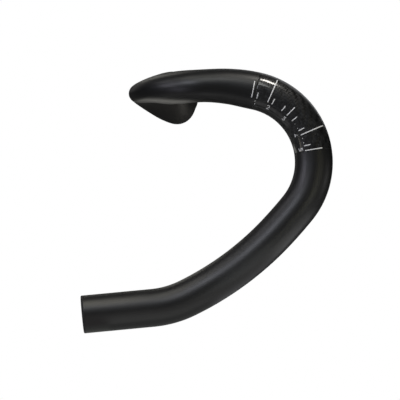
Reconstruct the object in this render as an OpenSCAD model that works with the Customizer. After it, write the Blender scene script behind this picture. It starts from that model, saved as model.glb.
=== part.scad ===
// Drop handlebar for a road bicycle, with flared drops, a wing-shaped top and expanding end plugs.
// The clamp centre is the origin: the clamp axis runs along X, forwards is -Y and up is +Z.
// The rider's right is -X. Right-hand pieces are drawn in place, and left-hand ones mirrored.

/* [Overall] */
// Width between the tube centres at the bar ends
end_width = 420; // [400:2:440]
// Outer diameter of the tube in the drops and at the levers
tube_d = 24.2; // [23.8:0.1:24.4]
// Wall thickness of the drop tubes
tube_wall = 1.8; // [1.5:0.1:2.0]
// Outward lean of the drops, from the ramps to the bar ends
flare = 3; // [2:0.5:4]
// Toe-out of the drops, so that the bar ends point slightly outwards
toe = 1.5; // [1:0.25:2]

/* [Drop curve] */
// Height of the bar end below the clamp centre
end_drop = 138.95; // [137:0.25:141]
// Distance of the bar end behind the clamp centre
end_back = 58.1; // [56:0.1:60]
// Slope of the straight grip, rising to the front
end_slope = 5.5; // [5:0.25:6]
// Length of the straight grip
grip_len = 45; // [43:0.5:47]
// Radius of the bend in front of the grip
palm_r = 64; // [61:1:67]
// Radius of the long shallow curve up to the hook
rise_r = 197; // [190:1:203]
// Radius where the shallow curve runs out into the hook
lift_r = 274; // [250:2:300]
// Radius of the hook that carries the brake lever
hook_r = 46.5; // [46:0.25:47]
// Heading at which the hook ends at the ramp
hook_end = 167.9; // [166.5:0.1:168.5]
// Radius of the crown of the ramp
ramp_r = 160; // [150:2:170]

/* [Tops and clamp] */
// Diameter of the stem clamp area
clamp_d = 31.8; // [31.7:0.05:31.9]
// Length of the textured clamp band
clamp_len = 70; // [60:2:72]
// Thickness of the textured clamp band
band_t = 0.35; // [0.3:0.05:0.4]
// Radius of the bend between the tops and the ramp, in plan
corner_r = 30.3; // [29.5:0.1:31]
// Wall thickness of the tops
top_wall = 1.5; // [1.2:0.1:1.6]
// Wall thickness at the clamp
clamp_wall = 2.0; // [1.8:0.1:2.2]

/* [Lever zone] */
// Thickness of the woven wrap
wrap_t = 0.25; // [0.2:0.05:0.3]
// Heading of the hook where the wrap stops
wrap_end = 98.8; // [97:0.2:99]
// Angular width of a scale mark
mark_w = 0.9; // [0.7:0.1:1.2]
// Thickness of the printed marks
ink_t = 0.08; // [0.06:0.01:0.12]
// Height of a numeral
digit_h = 3.3; // [2.6:0.1:3.4]

/* [End plugs] */
// Radius of the clamping screw
screw_r = 2.5; // [2.4:0.05:2.5]
// Length of the rubber expander
rubber_len = 20; // [18:0.5:22]
// Depth of the plug face behind the tube end
plug_set = 0.3; // [0.2:0.1:0.6]

/* [Hidden] */
$fn = 64;
right = -1;
left = 1;
fit_gap = 0.05;     // radial gap beneath the wrap and the clamp band
seam = 0.1;         // heading left free at the joint and at the end of the wrap
overrun = 1;        // how far a cutter passes the face it cuts
tube_r = tube_d / 2;
bore_r = tube_r - tube_wall;
clamp_r = clamp_d / 2;
barrel_r = clamp_r - band_t - fit_gap;

// Angle taken up by a length along an arc.
function arc_deg(length, radius) = length / radius * 180 / PI;

// ---- Drop curve ----
// Flat coordinates: x forwards, y up. A heading is the direction of travel from the bar end.
function on_arc(centre, radius, heading) =
    [centre[0] + radius * sin(heading), centre[1] - radius * cos(heading)];
function centre_of(point, radius, heading) =
    [point[0] - radius * sin(heading), point[1] + radius * cos(heading)];

// [cosine, sine] of the bends. Whole-number triangles let neighbouring arcs share one exact face.
wide_turn = [0.936, 0.352];         // palm and rise bends
slight_turn = [0.99712, 0.07584];   // lift bend
function turn_angle(turn) = atan2(turn[1], turn[0]);
palm_end = end_slope + turn_angle(wide_turn);   // headings where the bends end
rise_end = palm_end + turn_angle(wide_turn);
lift_end = rise_end + turn_angle(slight_turn);

end_p = [-end_back, -end_drop];
grip_p = end_p + grip_len * [cos(end_slope), sin(end_slope)];
palm_c = centre_of(grip_p, palm_r, end_slope);
rise_c = centre_of(on_arc(palm_c, palm_r, palm_end), rise_r, palm_end);
lift_c = centre_of(on_arc(rise_c, rise_r, rise_end), lift_r, rise_end);
hook_p = on_arc(lift_c, lift_r, lift_end);      // start of the hook
hook_c = centre_of(hook_p, hook_r, lift_end);
joint_p = on_arc(hook_c, hook_r, hook_end);     // joint with the centre section
ramp_c = centre_of(joint_p, ramp_r, hook_end);

// ---- Right-hand drop plane in space ----
plane_x = end_width / 2 - end_back * sin(toe) - end_drop * sin(flare);
function turn_z(p, a) = [p[0] * cos(a) - p[1] * sin(a), p[0] * sin(a) + p[1] * cos(a), p[2]];
function turn_y(p, a) = [p[0] * cos(a) + p[2] * sin(a), p[1], -p[0] * sin(a) + p[2] * cos(a)];
function plane_dir(forward, up, outboard) = turn_y(turn_z([-outboard, -forward, up], toe), flare);
function plane_pos(p) = [-plane_x, 0, 0] + plane_dir(p[0], p[1], 0);

// ---- Path of the centre section ----
// Level tops, corner bend in plan, then the crown of the ramp. s is the distance from the middle.
axis_blend = 12;                    // length past the corner in which the section axes settle
crown_p = plane_pos(on_arc(ramp_c, ramp_r, 180));
corner_turn = 90 + toe;
corner_exit = [-sin(corner_turn), cos(corner_turn), 0];
corner_c = [crown_p[0] + corner_r * sin(corner_turn), crown_p[1] - corner_r * cos(corner_turn)];
s_corner = -corner_c[0];
s_ramp = s_corner + corner_r * corner_turn * PI / 180;
s_joint = s_ramp + ramp_r * (180 - hook_end) * PI / 180;
back_y = corner_c[1] + corner_r;
top_z = crown_p[2];

function ease(t) = t <= 0 ? 0 : t >= 1 ? 1 : t * t * (3 - 2 * t);
function unit(v) = v / norm(v);
// [centre, across, up] on the right side; across points back on the tops, outboard on the ramp.
function frame_at(s) =
    s <= s_corner ? [[-s, back_y, top_z], [0, 1, 0], [0, 0, 1]] :
    s <= s_ramp ?
        let (a = arc_deg(s - s_corner, corner_r))
        [[corner_c[0] - corner_r * sin(a), corner_c[1] + corner_r * cos(a), top_z],
         [-sin(a), cos(a), 0], [0, 0, 1]] :
    let (heading = 180 - arc_deg(s - s_ramp, ramp_r),
         along = plane_dir(-cos(heading), -sin(heading), 0),
         blend = ease((s - s_ramp) / axis_blend),
         mixed = (1 - blend) * corner_exit + blend * plane_dir(0, 0, 1),
         across = unit(mixed - (mixed * along) * along),
         up = cross(across, along))
        [plane_pos(on_arc(ramp_c, ramp_r, heading)), across, up * (up[2] < 0 ? -1 : 1)];

// ---- Cross-sections of the centre section ----
// A smooth egg around three circles: front, rear and upper, each [across, up, radius].
// A section row holds s, then the three circles, measured from the path.
front = 1;                          // first column of each circle in a row
rear = 4;
upper = 7;
last_column = 9;
// Row from circles placed about the clamp centre.
function around_clamp(s, f, r, u) =
    [s, for (c = [f, r, u]) each [c[0] - back_y, c[1] - top_z, c[2]]];
barrel_end = 38;                    // where the round barrel ends
wing_start = 86;                    // where the full wing section starts
barrel = [0, 0, barrel_r];
wing_front = [-1.2, 4.2, 4.9];
wing_upper = [9.9, 8, 4.9];
wing_rear = [22.6, 2.1, 5.9];
rows = [
    around_clamp(0, barrel, barrel, barrel),
    around_clamp(barrel_end, barrel, barrel, barrel),
    around_clamp(58, [-2.5, -6.9, 10.2], [21.7, 0.7, 5.3], [0.6, 5.4, 6.9]),
    around_clamp(wing_start, wing_front, wing_rear, wing_upper),
    around_clamp(s_corner - 2, wing_front, wing_rear, wing_upper),
    [s_corner + 25, -6.3, -1.5, 10.0, 5.9, -1.6, 7.9, -6.3, -1.5, 10.0],
    [s_ramp, -2.7, -0.3, 9.9, 2.8, -0.1, 9.3, -2.7, -0.3, 9.9],
    [(s_ramp + s_joint) / 2, -1.2, 0.15, 10.7, 1.2, 0.15, 10.7, -1.2, 0.15, 10.7],
    [s_joint, 0, 0, tube_r, 0, 0, tube_r, 0, 0, tube_r]];

// Slopes for cubic interpolation: the harmonic mean of both sides, or level where they disagree.
function slope(i) =
    i <= 0 || i >= len(rows) - 1 ? [for (j = [0:last_column]) 0] :
    let (a = (rows[i] - rows[i - 1]) / (rows[i][0] - rows[i - 1][0]),
         b = (rows[i + 1] - rows[i]) / (rows[i + 1][0] - rows[i][0]))
        [for (j = [0:last_column]) a[j] * b[j] <= 0 ? 0 : 2 * a[j] * b[j] / (a[j] + b[j])];
slopes = [for (i = [0:len(rows) - 1]) slope(i)];
function row_of(s, i = 0) = i >= len(rows) - 2 || s < rows[i + 1][0] ? i : row_of(s, i + 1);
function shape_at(s) =
    let (i = row_of(s), w = rows[i + 1][0] - rows[i][0], t = (s - rows[i][0]) / w)
        (2 * t * t * t - 3 * t * t + 1) * rows[i]
        + (t * t * t - 2 * t * t + t) * w * slopes[i]
        + (3 * t * t - 2 * t * t * t) * rows[i + 1]
        + (t * t * t - t * t) * w * slopes[i + 1];

sharpness = 0.8;                    // of the blend between circles; higher is tighter
// Support distance of circle k of a row in direction a, and its derivative.
function support(row, k, a) =
    [row[k] * cos(a) + row[k + 1] * sin(a) + row[k + 2], -row[k] * sin(a) + row[k + 1] * cos(a)];
// How far circle k differs from the front circle.
function gap(row, k) =
    abs(row[k] - row[front]) + abs(row[k + 1] - row[front + 1]) + abs(row[k + 2] - row[front + 2]);
// Smooth maximum of two supports, which adds nothing where the circles are equal.
function soft_max(f, g, difference) =
    let (m = max(f[0], g[0]), ef = exp(sharpness * (f[0] - m)), eg = exp(sharpness * (g[0] - m)))
        [m + ln((ef + eg) / (1 + exp(-sharpness * difference))) / sharpness,
         (ef * f[1] + eg * g[1]) / (ef + eg)];
function egg(row, a, inset) =
    let (front_upper = soft_max(support(row, front, a), support(row, upper, a), gap(row, upper)),
         h = soft_max(front_upper, support(row, rear, a), gap(row, rear)),
         r = h[0] - inset)
        [r * cos(a) - h[1] * sin(a), r * sin(a) + h[1] * cos(a)];

// ---- Skin of the centre section ----
outer_sides = 32;                   // the end caps rely on the 4:3 ratio of these
inner_sides = 24;
function wall_at(s) = clamp_wall + (top_wall - clamp_wall) * ease((s - barrel_end) / 30)
    + (tube_wall - top_wall) * ease((s - s_ramp) / 20);
function ring(s, sides, inset, side) =
    let (frame = frame_at(s), row = shape_at(s))
        [for (i = [0:sides - 1])
            let (e = egg(row, 360 * i / sides, inset),
                 p = frame[0] + e[0] * frame[1] + e[1] * frame[2])
                [-side * p[0], p[1], p[2]]];
function bend_stations(corner_steps, ramp_steps) = [
    for (i = [0:corner_steps - 1]) s_corner + (s_ramp - s_corner) * i / corner_steps,
    for (i = [0:ramp_steps]) s_ramp + (s_joint - s_ramp) * i / ramp_steps];
// Distances of the rings from the middle, along one half.
outer_stations = [0, 20, each [barrel_end:3:wing_start], 114, 142, 156, s_corner - 3,
    each bend_stations(12, 8)];
inner_stations = [0, each [barrel_end:4:wing_start], 114, 142, 164, each bend_stations(8, 6)];
// Rings from the left joint to the right joint.
outer = [
    for (i = [len(outer_stations) - 1:-1:1]) ring(outer_stations[i], outer_sides, 0, left),
    for (s = outer_stations) ring(s, outer_sides, 0, right)];
inner = [
    for (i = [len(inner_stations) - 1:-1:1])
        let (s = inner_stations[i]) ring(s, inner_sides, wall_at(s), left),
    for (s = inner_stations) ring(s, inner_sides, wall_at(s), right)];
inner_base = len(outer) * outer_sides;          // index of the first inner point
function flat(lists) = [for (list = lists) each list];
// Triangles between successive rings, numbered from point `base`.
function skin(rings, sides, base, flip) = [for (j = [0:rings - 2]) for (i = [0:sides - 1])
    let (a = base + j * sides + i, b = base + j * sides + (i + 1) % sides,
         c = a + sides, d = b + sides)
        each (flip ? [[a, d, b], [a, c, d]] : [[a, b, d], [a, d, c]])];
// Annular cap between the outer ring at index o and the inner ring at index p.
function end_cap(o, p, flip) = [for (g = [0:outer_sides / 4 - 1])
    let (a = [for (i = [0:4]) o + (g * 4 + i) % outer_sides],
         b = [for (i = [0:3]) p + (g * 3 + i) % inner_sides],
         faces = [[a[0], a[1], b[0]], [a[1], b[1], b[0]], [a[1], a[2], b[1]], [a[2], b[2], b[1]],
                  [a[2], a[3], b[2]], [a[3], b[3], b[2]], [a[3], a[4], b[3]]])
        each (flip ? [for (t = faces) [t[0], t[2], t[1]]] : faces)];

module centre_section() {
    color([0.10, 0.10, 0.11])
        polyhedron(points = concat(flat(outer), flat(inner)),
            faces = concat(
                skin(len(outer), outer_sides, 0, false),
                skin(len(inner), inner_sides, inner_base, true),
                end_cap(0, inner_base, true),
                end_cap((len(outer) - 1) * outer_sides,
                    inner_base + (len(inner) - 1) * inner_sides, false)));
}

// ---- Shared shapes ----
module mirrored(side) {
    if (side == left) mirror([1, 0, 0]) children();
    else children();
}
// Places children drawn in the drop plane: x forwards, y up, z outboard.
module drop_plane(side) {
    mirrored(side) translate([-plane_x, 0, 0]) rotate([0, flare, 0]) rotate([0, 0, toe])
        rotate([90, 0, -90]) children();
}
module annulus(outer_r, inner_r) {
    difference() {
        circle(r = outer_r);
        circle(r = inner_r);
    }
}
// Pie slice from the origin; angles run from +y towards +x.
module sector(reach, from, to) {
    polygon([[0, 0], for (i = [0:4]) let (a = from + (to - from) * i / 4) reach * [sin(a), cos(a)]]);
}
module bent_tube(radius, turn, outer_r, inner_r) {
    rotate_extrude(angle = turn, $fn = 72)
        translate([radius, 0]) annulus(outer_r, inner_r, $fn = 48);
}
// Tube along an arc of the drop curve, between two headings.
module arc_tube(centre, radius, from, to, outer_r, inner_r) {
    translate([centre[0], centre[1], 0]) rotate([0, 0, from - 90])
        bent_tube(radius, to - from, outer_r, inner_r);
}

// ---- Drops ----
// An arc that arrives at the local origin heading along +y; its children stand at its other end.
module back_arc(radius, turn) {
    reach = 1000;                   // size of the wedge that cuts the arc from a full ring
    height = 40;
    translate([-radius, 0, 0]) intersection() {
        rotate_extrude($fn = 144) translate([radius, 0]) annulus(tube_r, bore_r, $fn = 48);
        translate([0, 0, -height / 2]) linear_extrude(height = height)
            polygon([[0, 0], [reach * turn[0], -reach * turn[1]], [reach, 0]]);
    }
    translate([-radius, 0, 0]) rotate([0, 0, -turn_angle(turn)]) translate([radius, 0, 0])
        children();
}
module grip() {
    rotate([90, 0, 0]) difference() {
        cylinder(h = grip_len, r = tube_r, $fn = 48);
        cylinder(h = grip_len, r = bore_r, $fn = 48);
    }
}
module drop(side) {
    color([0.11, 0.11, 0.12]) drop_plane(side) difference() {
        translate([hook_p[0], hook_p[1], 0]) rotate([0, 0, lift_end - 90]) {
            translate([-hook_r, 0, 0])
                bent_tube(hook_r, hook_end - seam - lift_end, tube_r, bore_r);
            back_arc(lift_r, slight_turn) back_arc(rise_r, wide_turn) back_arc(palm_r, wide_turn)
                grip();
        }
        // recess that the woven wrap lies in
        arc_tube(hook_c, hook_r, wrap_end, hook_end + 1, tube_r + 1, tube_r - wrap_t - fit_gap);
    }
}

// Spigot inside the joint between drop and centre section
spigot_bend_r = 72;
spigot_c = centre_of(joint_p, spigot_bend_r, hook_end);
spigot_r = bore_r - 0.5;
spigot_wall = 1.25;
module joint_spigot(side) {
    color([0.20, 0.20, 0.21]) drop_plane(side)
        arc_tube(spigot_c, spigot_bend_r, hook_end - 7, hook_end + 4,
            spigot_r, spigot_r - spigot_wall);
}
module lever_wrap(side) {
    color([0.05, 0.05, 0.06]) drop_plane(side)
        arc_tube(hook_c, hook_r, wrap_end + seam, hook_end - seam, tube_r, tube_r - wrap_t);
}

// ---- Printed lever scale ----
// Girth angles run round the tube: 0 faces outboard, 90 away from the centre of the bend.
ink_lift = 0.02;                    // gap between ink and tube
mark_in = -25.5;                    // girth angle where every mark starts
// Each mark: heading, girth angle of its outer end.
first_mark = [168.7, 27];           // on the ramp, just behind the joint
hook_marks = [[166.2, -6.6], [156.0, 61], [151.9, -6.6], [141.5, -6.6], [135.3, 9],
    [128.7, -5], [118.1, -5.5], [113.9, 61], [103.8, -5.5], [99.6, 29]];

// Thin patch on the tube, centred on a heading, between two girth angles.
module patch(centre, radius, heading, width, girth_from, girth_to) {
    base_r = tube_r + ink_lift;
    translate([centre[0], centre[1], 0]) rotate([0, 0, heading - width / 2 - 90])
        rotate_extrude(angle = width, $fn = 96) translate([radius, 0]) intersection() {
            annulus(base_r + ink_t, base_r);
            sector(16, girth_from, girth_to);
        }
}
module hook_patch(heading, width, girth_from, girth_to) {
    patch(hook_c, hook_r, heading, width, girth_from, girth_to);
}
module scale_marks(side) {
    color([0.93, 0.93, 0.92]) drop_plane(side) {
        patch(ramp_c, ramp_r, first_mark[0], mark_w * hook_r / ramp_r, mark_in, first_mark[1]);
        for (m = hook_marks) hook_patch(m[0], mark_w, mark_in, m[1]);
    }
}

// Stroke codes: 0 top, 1 upper right, 2 lower right, 3 bottom, 4 lower left, 5 upper left,
// 6 middle, 7 full height. The strokes stand a hair apart, as in a stencil.
glyphs = [[7], [0, 1, 6, 4, 3], [0, 1, 6, 2, 3], [5, 6, 1, 2], [0, 5, 6, 2, 3]];   // 1 to 5
numeral_headings = [167.1, 153.7, 135.4, 115.6, 101.4];
numeral_girth = -40.5;
dot_headings = [124.9, 120.6, 110.7, 106.7];
dot_d = 0.4;
dot_girth = mark_in + 0.5;
stroke = 0.42;
hair = 0.06;
// Heights are girth angles and widths are heading angles.
glyph_h = arc_deg(digit_h, tube_r);
glyph_w = arc_deg(digit_h * 0.55, hook_r);
stroke_h = arc_deg(stroke, tube_r);
stroke_w = arc_deg(stroke, hook_r);
hair_h = arc_deg(hair, tube_r);
hair_w = arc_deg(hair, hook_r);
glyph_low = numeral_girth - glyph_h / 2;
glyph_high = numeral_girth + glyph_h / 2;

// Left and right strokes swap with the side, so that numerals read the right way on both.
module glyph(strokes, heading, side) {
    for (code = strokes)
        if (code == 7)
            hook_patch(heading, stroke_w, glyph_low, glyph_high);
        else if (code % 3 == 0)
            let (offset = (glyph_h - stroke_h) / 2,
                 girth = numeral_girth + (code == 0 ? offset : code == 3 ? -offset : 0))
                hook_patch(heading, glyph_w - 2 * stroke_w - 2 * hair_w,
                    girth - stroke_h / 2, girth + stroke_h / 2);
        else
            let (shift = (code < 3 ? side : -side) * (glyph_w - stroke_w) / 2,
                 is_upper = code == 1 || code == 5)
                hook_patch(heading + shift, stroke_w,
                    is_upper ? numeral_girth + hair_h / 2 : glyph_low,
                    is_upper ? glyph_high : numeral_girth - hair_h / 2);
}
module scale_numerals(side) {
    color([0.75, 0.75, 0.74]) drop_plane(side) {
        for (k = [0:4]) glyph(glyphs[k], numeral_headings[k], side);
        for (h = dot_headings)
            hook_patch(h, arc_deg(dot_d, hook_r), dot_girth, dot_girth + arc_deg(dot_d, tube_r));
    }
}

// ---- Clamp ----
core_len = 62;
core_r = barrel_r - clamp_wall - 0.25;
core_wall = 1.5;
clamp_ink_r = clamp_r + 0.01;
// Lines round the front of the band: x, width, angle covered.
centre_marks = [[-3, 0.5, 14], [-1.5, 0.5, 9], [0, 0.7, 20], [1.5, 0.5, 9], [3, 0.5, 14]];

module clamp_tube(length, outer_r, inner_r) {
    rotate([0, 90, 0]) difference() {
        cylinder(h = length, r = outer_r, center = true);
        cylinder(h = length + 2 * overrun, r = inner_r, center = true);
    }
}
module clamp_grip_band() {
    color([0.16, 0.16, 0.17]) clamp_tube(clamp_len, clamp_r, clamp_r - band_t, $fn = 96);
}
module clamp_centre_marks() {
    color([0.85, 0.85, 0.84]) for (m = centre_marks)
        translate([m[0] - m[1] / 2, 0, 0]) rotate([0, 90, 0]) linear_extrude(height = m[1])
            intersection() {
                annulus(clamp_ink_r + ink_t, clamp_ink_r, $fn = 96);
                sector(20, 180 - m[2] / 2, 180 + m[2] / 2);
            }
}
module clamp_core_sleeve() {
    color([0.25, 0.25, 0.26]) clamp_tube(core_len, core_r, core_r - core_wall);
}

// ---- End plugs ----
cap_r = bore_r - 0.1;
cap_t = 3.6;
boss_r = 4.7;                       // boss on the inner face of the cap
head_r = 4.2;
head_t = 2.4;
head_sink = 0.15;                   // depth of the screw head below the cap face
screw_len = 33;
screw_gap = 0.15;                   // round the screw and its head, in the cap
socket_r = 2.31;                    // hexagon socket, across corners
socket_depth = 1.9;
rubber_z = plug_set + cap_t + 0.05;
rubber_bore_r = 4.8;
wedge_len = 12;
wedge_rim = 2;                      // length of the wedge's straight rim
wedge_r = 7.65;
wedge_z = plug_set + cap_t + rubber_len - wedge_len + 1.6;

// Places children drawn along +z from the open end of the tube inwards, `depth` from that end.
module plug_place(side, depth) {
    drop_plane(side) translate([end_p[0], end_p[1], 0]) rotate([0, 90, end_slope])
        translate([0, 0, depth]) children();
}
module plug_cap(side) {
    color([0.07, 0.07, 0.08]) plug_place(side, plug_set) difference() {
        union() {
            rotate_extrude() polygon([[0, 0.5], [0.5, 0], [cap_r - 0.7, 0], [cap_r - 0.2, 0.2],
                [cap_r, 0.7], [cap_r, cap_t], [0, cap_t]]);
            translate([0, 0, cap_t - 0.5]) cylinder(h = 3.5, r = boss_r);
        }
        translate([0, 0, -overrun]) cylinder(h = cap_t + 6, r = screw_r + screw_gap);
        translate([0, 0, -overrun]) cylinder(h = overrun + head_t + 0.25, r = head_r + screw_gap);
    }
}
module plug_rubber(side) {
    color([0.04, 0.04, 0.04]) plug_place(side, rubber_z) difference() {
        cylinder(h = rubber_len, r = bore_r - 0.08);
        translate([0, 0, -overrun]) cylinder(h = rubber_len + 2 * overrun, r = rubber_bore_r);
        // tapered mouth for the wedge
        translate([0, 0, rubber_len - wedge_len + 1.5])
            cylinder(h = wedge_len, r1 = rubber_bore_r, r2 = 8.4);
    }
}
module plug_wedge(side) {
    color([0.72, 0.72, 0.74]) plug_place(side, wedge_z) difference() {
        union() {
            cylinder(h = wedge_len - wedge_rim, r1 = 4.65, r2 = wedge_r);
            translate([0, 0, wedge_len - wedge_rim]) cylinder(h = wedge_rim, r = wedge_r);
        }
        translate([0, 0, -overrun]) cylinder(h = wedge_len + 2 * overrun, r = screw_r + 0.06);
    }
}
module plug_screw(side) {
    color([0.30, 0.30, 0.32]) plug_place(side, plug_set + head_sink) difference() {
        union() {
            rotate_extrude()
                polygon([[0, 0], [head_r - 0.4, 0], [head_r, 0.4], [head_r, head_t], [0, head_t]]);
            cylinder(h = screw_len, r = screw_r);
        }
        translate([0, 0, -overrun]) cylinder(h = overrun + socket_depth, r = socket_r, $fn = 6);
    }
}

centre_section();
drop(right);  // right_drop
drop(left);  // left_drop
joint_spigot(right);  // right_joint_spigot
joint_spigot(left);  // left_joint_spigot
lever_wrap(right);  // right_lever_wrap
lever_wrap(left);  // left_lever_wrap
scale_marks(right);  // right_scale_marks
scale_marks(left);  // left_scale_marks
scale_numerals(right);  // right_scale_numerals
scale_numerals(left);  // left_scale_numerals
clamp_grip_band();
clamp_centre_marks();
clamp_core_sleeve();
plug_cap(right);  // right_plug_cap
plug_cap(left);  // left_plug_cap
plug_rubber(right);  // right_plug_rubber
plug_rubber(left);  // left_plug_rubber
plug_wedge(right);  // right_plug_wedge
plug_wedge(left);  // left_plug_wedge
plug_screw(right);  // right_plug_screw
plug_screw(left);  // left_plug_screw
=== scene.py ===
import bpy
import math
import numpy as np
from mathutils import Vector, Matrix, noise


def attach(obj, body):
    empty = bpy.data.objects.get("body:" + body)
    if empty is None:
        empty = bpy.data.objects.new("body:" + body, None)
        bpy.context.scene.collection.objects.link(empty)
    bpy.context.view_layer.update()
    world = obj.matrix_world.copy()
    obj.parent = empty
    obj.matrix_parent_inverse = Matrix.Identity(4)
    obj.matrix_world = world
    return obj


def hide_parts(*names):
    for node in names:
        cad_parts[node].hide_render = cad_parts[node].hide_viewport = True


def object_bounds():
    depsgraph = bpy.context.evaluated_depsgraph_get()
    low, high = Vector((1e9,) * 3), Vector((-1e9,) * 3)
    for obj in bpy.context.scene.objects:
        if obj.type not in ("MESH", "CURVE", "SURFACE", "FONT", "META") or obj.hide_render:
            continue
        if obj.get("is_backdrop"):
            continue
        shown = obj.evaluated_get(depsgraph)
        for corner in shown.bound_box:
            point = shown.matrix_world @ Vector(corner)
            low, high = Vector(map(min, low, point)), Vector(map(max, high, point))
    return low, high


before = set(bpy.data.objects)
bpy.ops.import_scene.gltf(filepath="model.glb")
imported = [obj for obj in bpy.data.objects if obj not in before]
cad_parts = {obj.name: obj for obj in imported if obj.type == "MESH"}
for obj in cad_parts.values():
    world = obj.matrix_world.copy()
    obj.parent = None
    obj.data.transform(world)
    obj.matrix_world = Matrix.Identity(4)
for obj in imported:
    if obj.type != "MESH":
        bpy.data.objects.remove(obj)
cad_lo, cad_hi = [tuple(v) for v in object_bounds()]
MM = 0.001
scene = bpy.context.scene

# ------------------------------------------------------------------ design numbers (mm), as in the CAD model
END_WIDTH, TUBE_D, WALL, FLARE, TOE = 420.0, 24.2, 1.8, 3.0, 1.5
END_DROP, END_BACK, SLOPE, GRIP = 138.95, 58.1, 5.5, 45.0
PALM_R, RISE_R, LIFT_R, HOOK_R, HOOK_END, RAMP_R = 64.0, 197.0, 274.0, 46.5, 167.9, 160.0
CLAMP_D, CLAMP_LEN, BAND_T, CORNER_R, EPS, SOFT = 31.8, 70.0, 0.35, 30.3, 0.05, 0.8
TOP_WALL, CLAMP_WALL, WRAP_T, WRAP_END, INK_T = 1.5, 2.0, 0.25, 98.8, 0.08
PLUG_SET, RUBBER_LEN, SCREW_R = 0.3, 20.0, 2.5
TR = TUBE_D / 2
BORE = TR - WALL
UNDER = TR - WRAP_T - EPS
PLANE_X = END_WIDTH / 2 - END_BACK * math.sin(math.radians(TOE)) - END_DROP * math.sin(math.radians(FLARE))
BIG = math.degrees(math.atan2(.352, .936))
SMALL = math.degrees(math.atan2(.07584, .99712))


def sn(a): return math.sin(math.radians(a))
def cs(a): return math.cos(math.radians(a))
def on_arc(c, r, h): return np.array([c[0] + r * sn(h), c[1] - r * cs(h)])
def centre_of(p, r, h): return np.array([p[0] - r * sn(h), p[1] + r * cs(h)])


end_p = np.array([-END_BACK, -END_DROP])
grip_p = end_p + GRIP * np.array([cs(SLOPE), sn(SLOPE)])
H1 = SLOPE + BIG
H2 = H1 + BIG
H2B = H2 + SMALL
H3 = HOOK_END
palm_c = centre_of(grip_p, PALM_R, SLOPE)
rise_c = centre_of(on_arc(palm_c, PALM_R, H1), RISE_R, H1)
lift_c = centre_of(on_arc(rise_c, RISE_R, H2), LIFT_R, H2)
hook_p = on_arc(lift_c, LIFT_R, H2B)
hook_c = centre_of(hook_p, HOOK_R, H2B)
joint_p = on_arc(hook_c, HOOK_R, H3)
ramp_c = centre_of(joint_p, RAMP_R, H3)


def dir3(a, b, c=0.0):
    x, y, z = -c, -a, b
    x, y = x * cs(TOE) - y * sn(TOE), x * sn(TOE) + y * cs(TOE)
    x, z = x * cs(FLARE) + z * sn(FLARE), -x * sn(FLARE) + z * cs(FLARE)
    return np.array([x, y, z])


def pos3(q): return np.array([-PLANE_X, 0, 0]) + dir3(q[0], q[1], 0)


crown_p = pos3(on_arc(ramp_c, RAMP_R, 180))
TURN = 90 + TOE
corner_c = (crown_p[0] + CORNER_R * sn(TURN), crown_p[1] - CORNER_R * cs(TURN))
S_CORNER = -corner_c[0]
S_RAMP = S_CORNER + CORNER_R * math.radians(TURN)
S_JOINT = S_RAMP + RAMP_R * math.radians(180 - H3)
BY = corner_c[1] + CORNER_R
BZ = crown_p[2]


def ease(t): return 0.0 if t <= 0 else 1.0 if t >= 1 else t * t * (3 - 2 * t)


def frame_at(s):
    up = np.array([0, 0, 1.0])
    if s <= S_CORNER:
        return np.array([-s, BY, BZ]), np.array([0, 1.0, 0]), up
    if s <= S_RAMP:
        a = math.degrees((s - S_CORNER) / CORNER_R)
        return np.array([corner_c[0] - CORNER_R * sn(a), corner_c[1] + CORNER_R * cs(a), BZ]), np.array([-sn(a), cs(a), 0]), up
    hh = 180 - math.degrees((s - S_RAMP) / RAMP_R)
    t = dir3(-cs(hh), -sn(hh))
    g = ease((s - S_RAMP) / 12)
    o1 = (1 - g) * np.array([-sn(TURN), cs(TURN), 0]) + g * dir3(0, 0, 1)
    o = o1 - o1.dot(t) * t
    o /= np.linalg.norm(o)
    n = np.cross(o, t)
    n = n if n[2] > 0 else -n
    return pos3(on_arc(ramp_c, RAMP_R, hh)), o, n


BR = CLAMP_D / 2 - BAND_T - EPS


def around(s, f, r, u):
    return [s, f[0] - BY, f[1] - BZ, f[2], r[0] - BY, r[1] - BZ, r[2], u[0] - BY, u[1] - BZ, u[2]]


_b, _lf, _tl = (0, 0, BR), (-2.5, -6.9, 10.2), (21.7, 0.7, 5.3)
_wf, _wc, _wt = (-1.2, 4.2, 4.9), (9.9, 8, 4.9), (22.6, 2.1, 5.9)
ROWS = np.array([
    around(0, _b, _b, _b), around(38, _b, _b, _b),
    around(58, _lf, _tl, (0.6, 5.4, 6.9)),
    around(86, _wf, _wt, _wc), around(S_CORNER - 2, _wf, _wt, _wc),
    [S_CORNER + 25, -6.3, -1.5, 10.0, 5.9, -1.6, 7.9, -6.3, -1.5, 10.0],
    [S_RAMP, -2.7, -0.3, 9.9, 2.8, -0.1, 9.3, -2.7, -0.3, 9.9],
    [(S_RAMP + S_JOINT) / 2, -1.2, 0.15, 10.7, 1.2, 0.15, 10.7, -1.2, 0.15, 10.7],
    [S_JOINT, 0, 0, TR, 0, 0, TR, 0, 0, TR]])


def slopes(R):
    m = np.zeros_like(R)
    for i in range(1, len(R) - 1):
        a = (R[i] - R[i - 1]) / (R[i, 0] - R[i - 1, 0])
        b = (R[i + 1] - R[i]) / (R[i + 1, 0] - R[i, 0])
        for j in range(R.shape[1]):
            m[i, j] = 0 if a[j] * b[j] <= 0 else 2 * a[j] * b[j] / (a[j] + b[j])
    return m


SLOPES = slopes(ROWS)


def shape_at(s):
    i = int(np.clip(np.searchsorted(ROWS[:, 0], s, side="right") - 1, 0, len(ROWS) - 2))
    w = ROWS[i + 1, 0] - ROWS[i, 0]
    t = (s - ROWS[i, 0]) / w
    return ((2 * t**3 - 3 * t**2 + 1) * ROWS[i] + (t**3 - 2 * t**2 + t) * w * SLOPES[i]
            + (3 * t**2 - 2 * t**3) * ROWS[i + 1] + (t**3 - t**2) * w * SLOPES[i + 1])


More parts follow.
